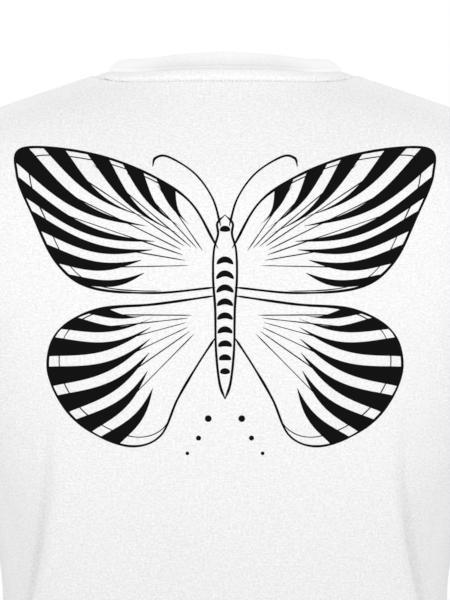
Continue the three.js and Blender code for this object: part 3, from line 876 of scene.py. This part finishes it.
def layCollar():
    count = collar["ribs"] * collar["perRib"]
    seam, run = neckRing(count)
    inward, reach = intoNeck(seam)
    up = np.array([0, 0, 1.0])
    front = np.clip((1 - seam[:, 1] / reach) / 2, 0, 1)
    middle, sides, less = collar["lean"]
    lean = np.radians(middle + sides * np.sqrt(front) - less * ease((front - 0.35) / 0.65))
    middle, sides, less = collar["curl"]
    curl = np.radians(middle + sides * ease(front / 0.42) - less * ease((front - 0.55) / 0.45))
    curl = np.where(np.abs(curl) < 0.01, 0.01, curl)
    first = lean - curl
    inset = mix(*collar["inset"], ease(front / 0.4))[:, None]

    def at(share, inside):
        tilt = first + 2 * curl * share
        radius = collar["height"] / (2 * curl)
        sideways = inset + ((np.cos(first) - np.cos(tilt)) * radius)[:, None]
        upwards = collar["lift"] + ((np.sin(tilt) - np.sin(first)) * radius)[:, None]
        outward = up * np.sin(tilt)[:, None] - inward * np.cos(tilt)[:, None]
        return seam + up * upwards + inward * sideways - outward * inside, outward

    radius = collar["thick"] / 2
    top = 1 - radius / collar["height"]
    profile = [(s, 0, 1) for s in np.linspace(collar["foot"], top, 22)]
    for t in np.radians([22, 44, 66, 90, 114, 136, 158]):
        share = top + radius / collar["height"] * math.sin(t)
        profile.append((share, radius - radius * math.cos(t), math.cos(t)))
    profile += [(s, collar["thick"], -1) for s in np.linspace(top, collar["foot"], 10)]
    phase = np.arange(count) / collar["perRib"] * 2 * math.pi
    ribs = collar["ribDepth"] * (np.cos(phase) - 0.25 * np.cos(2 * phase))
    rows, facing = [], []
    for share, inside, outer in profile:
        point, outward = at(share, inside)
        swell = unevenness(run, share * 8, 18, 12) * 0.18
        if outer > 0:
            swell = swell + collar["roll"] * bump(share * collar["height"] - 1.8)
        way = outward * outer
        if share > top:
            further, _ = at(share + 0.01, inside)
            way = unit(outward * outer + unit(further - point) * math.sqrt(max(0, 1 - outer**2)))
        rows.append(point + way * (ribs + swell)[:, None])
        facing.append(way)
    points, facing = np.stack(rows), np.stack(facing)
    uv = bandUv(points, np.append(run, run[-1] + run[1]))
    return gridPiece("shirt_collar", points, facing, uv, ribKnit, around=True, closed=True)


collarPiece = layCollar()

tape = {"height": 12.4, "thick": 0.7, "gap": 1.0, "reach": 0.99}
tapeAngles = np.abs(angles) < neckAngle * tape["reach"]
tapeDowns = panel["seamRows"][panel["seamRows"] <= tape["height"]]
tapeGrid, tapeOut = (grid[: len(tapeDowns), tapeAngles] for grid in (backGrid, backOut))
tapeUv = np.stack(np.broadcast_arrays(runOut(tapeGrid[0])[None], tapeDowns[:, None]), -1)
tapeGrid = tapeGrid - tapeOut * (shirt["cloth"] + tape["gap"])
tapePiece = gridPiece("shirt_neck_tape", tapeGrid, tapeOut, tapeUv, tapeWeave, thick=tape["thick"])
print("collar and neck tape laid")


# Stitches: short plump threads that dive into the cloth at both ends, and dark lenses of painted shadow where
# they go in.

stitch = {
    "length": 1.95,
    "period": 2.78,
    "radius": 0.24,
    "lift": 0.14,
    "dive": 0.34,
    "sunk": 0.28,  # deeper by this at the shoulder line
    "sides": 6,
    "along": np.array([-1, -0.86, -0.4, 0.4, 0.86, 1]),
    "girth": np.array([0.15, 0.72, 1, 1, 0.72, 0.15]),
}
shadowPit = {"length": 1.35, "radius": 0.5, "lift": -0.22, "reach": 84}  # painted shadow: a flat dark lens, sunk where a thread goes in, in place of the shade of the needle hole
flatShadowPit = {"length": 1.0, "radius": 0.34, "lift": -0.24}  # the same painted shadow, smaller, on the hems


def sewRows(name, rows, shape, finish, shift):
    shares, thick = stitch["along"], stitch["girth"] * shape["radius"]
    n, rings = stitch["sides"], len(shares)
    sides = np.arange(n) / n * 2 * math.pi
    points = []
    for path, outward in rows:
        run = runOut(path)
        count = int(run[-1] / stitch["period"])
        far = ((np.arange(count) + shift) * run[-1] / count)[:, None]
        up = unit(readAt(far, run, outward))
        along = unit(readAt(far + 0.5, run, path) - readAt(far - 0.5, run, path))
        beside = unit(np.cross(up, along))
        centre = readAt(far, run, path) + along * (shares * shape["length"] / 2)[None, :, None]
        centre = centre + up * (shape["lift"] - stitch["dive"] * shares**4)[None, :, None]
        kept = np.abs(centre[:, 2, 0]) < shape.get("reach", 1000)
        centre, up, beside = centre[kept], up[kept], beside[kept]
        ring = beside[:, :, None] * np.cos(sides)[:, None] + up[:, :, None] * np.sin(sides)[:, None]
        points.append((centre[:, :, None] + ring * thick[:, None, None]).reshape(-1, 3))
    points = np.concatenate(points)
    starts = np.arange(0, len(points), n * rings)[:, None, None]
    tube = [[a + i, a + n + i, a + n + (i + 1) % n, a + (i + 1) % n]
            for a in range(0, (rings - 1) * n, n) for i in range(n)]
    caps = [range(n), range(rings * n - 1, rings * n - n - 1, -1)]
    faces = (starts + np.array(tube)).reshape(-1, 4).tolist()
    faces += (starts + np.array(caps)).reshape(-1, n).tolist()
    piece = newPiece(name, points, faces, finish)
    faceOut(piece)
    return piece


# each row gets its threads, and flat dark lenses of painted shadow shaped by dent
def sew(name, rows, dent=flatShadowPit):
    threads = sewRows(f"stitches_{name}", rows, stitch, yarn, 0.5)
    return threads, sewRows(f"painted_shadows_{name}", rows, dent, stitchShadow, 0)


def neckStitchLine():  # the row of stitches below the collar, on both panels
    half = []
    for back, grid, outward in ((True, backGrid, backOut), (False, frontGrid, frontOut)):
        shoulder = toLine(onLeft(grid), seams["shoulder"])
        near = toLine(onLeft(grid), seams["neck"]) - seamDrop(shoulder, back)
        rows = np.arange(panel["stitchRows"])
        columns = np.flatnonzero((angles >= 0) & (near[0] < 0))
        line = []
        for c in columns:
            row = np.interp(0, near[rows, c], rows)
            low, share = int(row), row - int(row)
            up = unit(mix(outward[low, c], outward[low + 1, c], share))
            sunk = stitch["sunk"] * (1 - ease((shoulder[low, c] - 8) / 50))
            line.append((mix(grid[low, c], grid[low + 1, c], share) - up * sunk, up))
        if back:  # where the row crosses the shoulder line
            c = columns[-1]
            share = -near[0, c] / (near[0, c + 1] - near[0, c])
            line.append((mix(grid[0, c], grid[0, c + 1], share), outward[0, c]))
        half.append(line if back else line[::-1])
    parts = [np.array(part) for part in zip(*half[0], *half[1])]
    return [np.concatenate([part, part[-2::-1] * [-1, 1, 1]]) for part in parts]


sewn = sew("neck", [neckStitchLine()], shadowPit) + sew("hem", hemRows)
sewn += sew("cuff_left", leftRows) + sew("cuff_right", rightRows)
print("seams sewn")


# The print on the back: a moth in thin outlines, its wings striped with bold wedges.

moth = {
    "middle": (0, 650),  # mm across and mm up
    "line": 0.95,
    "foreWing": [(5, 38), (30, 76), (84, 103), (144, 111), (150, 92), (137, 60), (120, 27), (96, 10), (52, 6),
                 (7, 10)],
    "hindWing": [(7, 4), (50, -2), (92, -6), (120, -22), (127, -50), (114, -78), (92, -96), (66, -104),
                 (46, -96), (34, -70), (20, -46), (7, -26)],
    "foreRoot": (9, 26),
    "hindRoot": (9, -10),
    "foreStripes": [(0.16, 0.5), (0.23, 0.62), (0.30, 0.72), (0.385, 0.6), (0.455, 0.66), (0.525, 0.70),
                    (0.595, 0.66), (0.665, 0.56), (0.735, 0.5)],
    "hindStripes": [(0.255, 0.50), (0.32, 0.58), (0.385, 0.62), (0.45, 0.62), (0.515, 0.58), (0.58, 0.5),
                    (0.645, 0.42)],
    "body": [(0, 62), (5.5, 56), (5, 48), (8, 36), (8.5, 16), (7, -6), (6.5, -34), (4, -58), (0, -70)],
    "bodyBands": [(52, 3.6), (30, 5.8), (20, 6.2), (10, 6.0), (0, 5.6), (-10, 5.4), (-20, 5.2), (-30, 4.8),
                  (-40, 4.2), (-50, 3.4)],  # mm up and half the width
    "feeler": [(3, 54), (9, 74), (22, 92), (41, 104), (50, 103), (52, 97)],
    "dots": [(12, -84, 2.4), (19, -98, 1.8), (27, -109, 1.3)],
    "stripe": 0.0215,  # half the width of a wedge, as a share of the wing's outline
    "film": 0.12,
}


def smoothLine(points, count):  # a curve through all the points
    points = np.array(points, float)
    first, last = 2 * points[:1] - points[1:2], 2 * points[-1:] - points[-2:-1]
    p = np.concatenate([first, points, last])
    pieces = len(p) - 3
    t = np.linspace(0, pieces, count * 6)
    i = np.minimum(t.astype(int), pieces - 1)
    t = (t - i)[:, None]
    a, b, c, d = p[i], p[i + 1], p[i + 2], p[i + 3]
    line = 0.5 * (2 * b + (c - a) * t + (2 * a - 5 * b + 4 * c - d) * t**2 + (3 * b - a - 3 * c + d) * t**3)
    run = runOut(line)
    return readAt(np.linspace(0, run[-1], count), run, line)


def strokePath(path, half):  # a ribbon along a flat path, half gives half its width at each point
    along = unit(np.gradient(path, axis=0))
    beside = np.stack([-along[:, 1], along[:, 0]], -1)
    shares = np.linspace(-1, 1, max(2, int(np.ceil(2 * half.max() / 1.6)) + 1))
    return path[:, None] + beside[:, None] * (half[:, None] * shares)[..., None]


def handLine(path, half, seed):  # a pen line that swells and thins a little
    run = runOut(path)
    ends = ease(run / 6) * ease((run[-1] - run) / 6)
    return strokePath(path, half * (0.86 + 0.2 * unevenness(run, 0, 13, seed)) * mix(0.35, 1, ends))


def dot(x, z, radius):
    s = np.sin(np.linspace(-1, 1, 13) * math.pi / 2)
    path = np.stack([x + 0 * s, z + radius * s], -1)
    return strokePath(path, np.sqrt(np.maximum(radius**2 - (radius * s) ** 2, 1e-6)))


def wedge(outline, at, half, root, reach):  # broad along the outline, with its point towards the root
    place = np.linspace(at - half, at + half, 9) * (len(outline) - 1)
    low = np.clip(place.astype(int), 0, len(outline) - 2)
    broad = mix(outline[low], outline[low + 1], (place - low)[:, None])
    middle = broad[len(broad) // 2]
    tip = middle + (np.array(root) - middle) * reach
    share = np.linspace(0, 1, 24)[:, None, None]
    bow = (np.array([-1, 1]) * (tip - middle)[::-1] * 0.10) * np.sin(math.pi * share)
    return mix(broad[None], tip + (broad - middle)[None] * 0.02, share**0.9) + bow


def wingStrokes(points, root, stripes, seed):
    outline = smoothLine(points, 240)
    strokes = [handLine(outline, moth["line"], seed)]
    inner = root + (outline - root) * 0.93
    strokes.append(handLine(inner[38:214], 0.45, seed + 1))
    for i, (at, reach) in enumerate(stripes):
        strokes.append(wedge(outline, at, moth["stripe"], root, reach))
        if i + 1 < len(stripes) and stripes[i + 1][0] - at < 0.1:  # a thin vein between two wedges
            half = (at + stripes[i + 1][0]) / 2
            edge = outline[int(half * 239)]
            share = np.linspace(0.12, 0.84, 30)[:, None]
            strokes.append(handLine(edge + (root - edge) * share, 0.42, seed + i))
    return strokes


def printStrokes():
    strokes = []
    for name, seed in (("fore", 3), ("hind", 21)):
        root = np.array(moth[name + "Root"], float)
        strokes += wingStrokes(moth[name + "Wing"], root, moth[name + "Stripes"], seed)
    for x, z, radius in moth["dots"]:
        strokes.append(dot(x, z, radius))
    strokes.append(handLine(smoothLine(moth["feeler"], 90), 0.9, 8))
    strokes.append(handLine(smoothLine(moth["body"], 120), 0.9, 9))
    mirrored = [stroke * [-1, 1] for stroke in strokes]
    strokes += mirrored
    for z, wide in moth["bodyBands"]:
        x = np.linspace(-wide, wide, 15)
        half = 2.2 * np.sqrt(np.maximum(1 - (x / wide) ** 2, 0.02))
        strokes.append(strokePath(np.stack([x, z - 0.10 * x**2], -1), half))
    return [stroke + moth["middle"] for stroke in strokes]


def cellsOf(grid, first=0):
    rows, columns = grid.shape[:2]
    starts = [first + r * columns + c for r in range(rows - 1) for c in range(columns - 1)]
    return [(a, a + 1, a + 1 + columns, a + columns) for a in starts]


def layPrint(strokes):
    tree = BVHTree.FromPolygons([Vector(p) for p in backGrid.reshape(-1, 3)], cellsOf(backGrid))
    points, faces, places = [], [], []
    for stroke in strokes:
        faces += cellsOf(stroke, len(points))
        for x, z in stroke.reshape(-1, 2):
            spot, normal, _, _ = tree.ray_cast(Vector((x, 400, z)), Vector((0, -1, 0)))
            normal = normal if normal.y > 0 else -normal
            points.append(tuple(spot + normal * moth["film"]))
            places.append((x * 1.04, z))
    points, faces, places = np.array(points), np.array(faces), np.array(places)
    one, two = points[faces[:, 1]] - points[faces[:, 0]], points[faces[:, 3]] - points[faces[:, 0]]
    inward = np.cross(one, two)[:, 1] < 0
    faces[inward] = faces[inward][:, ::-1]
    return newPiece("back_print", points, faces.tolist(), ink, places[faces])


printPiece = layPrint(printStrokes())
print("print laid")


# Display stand: a turned foot and post, and a wooden bar under the shoulder seams.

stand = {
    "footRadius": 125,
    "footThick": 6,
    "socketRadius": 13,
    "socketHeight": 28,
    "postRadius": 6.5,
    "barReach": 170,
    "barHalf": (19, 8),
    "barUnder": 2.6,  # below the shoulder line
    "barDip": 6,
    "barRound": 7,
    "gap": 0.35,
    "steps": 144,
}


def arcLine(radius, height, size, low, high, count=6):  # part of a circle, as pairs of radius and height
    turn = np.radians(np.linspace(low, high, count))
    return [(radius + size * math.cos(t), height + size * math.sin(t)) for t in turn]


def turnedPiece(name, outline, finish):
    edges = [(i, i + 1) for i in range(len(outline) - 1)]
    piece = newPiece(name, [(r, 0, z) for r, z in outline], [], finish, edges=edges)
    choose(piece)
    bpy.ops.object.mode_set(mode="EDIT")
    bpy.ops.mesh.select_all(action="SELECT")
    bpy.ops.mesh.spin(steps=stand["steps"], angle=2 * math.pi, center=(0, 0, 0), axis=(0, 0, 1))
    bpy.ops.mesh.select_all(action="SELECT")
    bpy.ops.mesh.remove_doubles(threshold=1e-6)
    bpy.ops.object.mode_set(mode="OBJECT")
    faceOut(piece)
    bpy.ops.object.shade_smooth_by_angle(angle=math.radians(32))
    return piece


def barHeight(x):  # the bar follows the shoulder lines, and levels off below the neck
    top = neckPoint - stand["barUnder"] - stand["barHalf"][1]
    slope = top - (np.abs(x) - shirt["neckHalf"]) * shirt["slope"]
    top = top - stand["barDip"]
    return (slope + top) / 2 - np.hypot((slope - top) / 2, stand["barRound"]) + 0.28


def makeStand():
    foot, thick = stand["footRadius"], stand["footThick"]
    neck, tall, post = stand["socketRadius"], stand["socketHeight"], stand["postRadius"]
    outline = [(0, 0), (foot - 0.6, 0), (foot, 0.6)] + arcLine(foot - 2, thick - 2, 2, 0, 90)
    outline += [(foot * s, thick) for s in (0.8, 0.55, 0.3)]
    outline += arcLine(neck + 3, thick + 3, 3, 270, 180) + arcLine(neck - 1, tall - 1, 1, 0, 90)
    outline += [(post + stand["gap"], tall), (post + stand["gap"], thick / 2), (0, thick / 2)]
    footPiece = turnedPiece("display_foot", outline, steel)
    low, high = thick / 2 + stand["gap"], float(barHeight(0.0)) - stand["barHalf"][1] - stand["gap"]
    rod = [(0, low)] + arcLine(post - 1, low + 1, 1, -90, 0)
    rod += [(post, mix(low, high, s)) for s in (0.25, 0.5, 0.75)]
    rod += arcLine(post - 1, high - 1, 1, 0, 90) + [(0, high)]
    postPiece = turnedPiece("display_post", rod, steel)
    bpy.ops.object.select_all(action="DESELECT")
    bpy.ops.mesh.primitive_uv_sphere_add(segments=96, ring_count=120, radius=1, location=(0, 0, 0))
    barPiece = bpy.context.object
    barPiece.name = barPiece.data.name = "display_bar"
    for vertex in barPiece.data.vertices:
        across, up, along = vertex.co
        t = math.asin(max(-1, min(1, along))) / (math.pi / 2)
        size = math.hypot(across, up) or 1
        slim = (1 - abs(t) ** 7) ** 0.5
        x = stand["barReach"] * math.sin(t * math.pi / 2)
        y, z = (half * slim * part / size for half, part in zip(stand["barHalf"], (across, up)))
        vertex.co = Vector((x, y, float(barHeight(x)) + z)) * mm
    barPiece.data.materials.append(beech)
    faceOut(barPiece)
    barPiece.data.shade_smooth()
    return footPiece, postPiece, barPiece


footPiece, postPiece, barPiece = makeStand()
print("stand made")


# Each piece, the CAD part it stands for, which is hidden, and a finish name that nothing reads; every piece
# rides on the root body.

for piece, node, slot in (
    (backPiece, "back_panel", "jersey"),
    (frontPiece, "front_panel", "jersey"),
    (hemPiece, "hem", "jersey"),
    (leftSleeve, "sleeve_left", "jersey"),
    (leftCuff, "sleeve_hem_left", "jersey"),
    (rightSleeve, "sleeve_right", "jersey"),
    (rightCuff, "sleeve_hem_right", "jersey"),
    (collarPiece, "collar_rib", "rib_knit"),
    (tapePiece, "neck_tape", "neck_tape"),
    (printPiece, None, "print_ink"),
    (footPiece, "stand_foot", "stand_steel"),
    (postPiece, "stand_post", "stand_steel"),
    (barPiece, "stand_shoulder_bar", "stand_wood"),
    # the rows of stitches, each followed by its lenses of painted shadow
    *[(piece, None, "thread" if i % 2 == 0 else "jersey") for i, piece in enumerate(sewn)],
):
    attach(piece, "root")
    if node:
        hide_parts(node)


# Camera, floor and lights.

view = {"distance": 3.2, "height": 0.651, "lens": 259.0, "reach": 60}
ground = {"radius": 6.0, "solid": 1.5}  # beyond that it fades into the backdrop

camera = place("camera", bpy.data.cameras.new("camera"))
camera.data.lens = view["lens"]
camera.data.clip_end = view["reach"]
camera.location = (0, view["distance"], view["height"])
camera.rotation_euler = (math.pi / 2, 0, math.pi)
bpy.context.scene.camera = camera

bpy.ops.object.select_all(action="DESELECT")
bpy.ops.mesh.primitive_circle_add(vertices=128, radius=ground["radius"], fill_type="NGON", location=(0, 0, 0))
floor = bpy.context.object
floor.name = "floor"
paint = Finish("floor", 0.9, 0.1)
x, y, _ = paint.metres()
speckle = paint.noise(x * 40, y * 40, 0.0, 3.0)
fade = paint.slope((x * x + y * y).root(), ground["radius"], ground["solid"])
paint.feed(paint.shader.inputs["Alpha"], fade)
floor.data.materials.append(paint.finish(paint.blend(speckle, shade(0.74), shade(0.78)), speckle, 0.05))
floor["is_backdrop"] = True

lamps = {  # place, height aimed at, size and power
    "left": ((0.85, 1.05, 0.78), 0.68, 0.8, 3.85),
    "right": ((-0.85, 1.05, 0.78), 0.68, 0.8, 3.85),
    "front": ((0, -2.1, 1.6), 0.6, 1.2, 7),
}
for name, (spot, aim, size, power) in lamps.items():
    light = bpy.data.lights.new(name, "AREA")
    light.shape, light.size, light.energy = "DISK", size, power
    holder = place(name, light)
    holder.location = spot
    holder.visible_camera = False
    holder.rotation_euler = (Vector((0, 0, aim)) - Vector(spot)).to_track_quat("-Z", "Y").to_euler()

studio = {"To Min": 0.85, "To Max": 1.0}  # the light on the shirt, and the white backdrop
world = bpy.data.worlds.new("studio")
world.use_nodes = True
nodes, link = world.node_tree.nodes, world.node_tree.links.new
background = nodes["Background"]
path, level = nodes.new("ShaderNodeLightPath"), nodes.new("ShaderNodeMapRange")
background.inputs["Color"].default_value = (1, 1, 1, 1)
for key, value in studio.items():
    level.inputs[key].default_value = value
link(path.outputs["Is Camera Ray"], level.inputs["Value"])
link(level.outputs["Result"], background.inputs["Strength"])
bpy.context.scene.world = world
bpy.context.scene.view_settings.view_transform = "Standard"
bpy.context.scene.view_settings.look = "None"

[[list(corner) for corner in box] for box in (cadBox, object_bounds())]
print("camera and lights set")
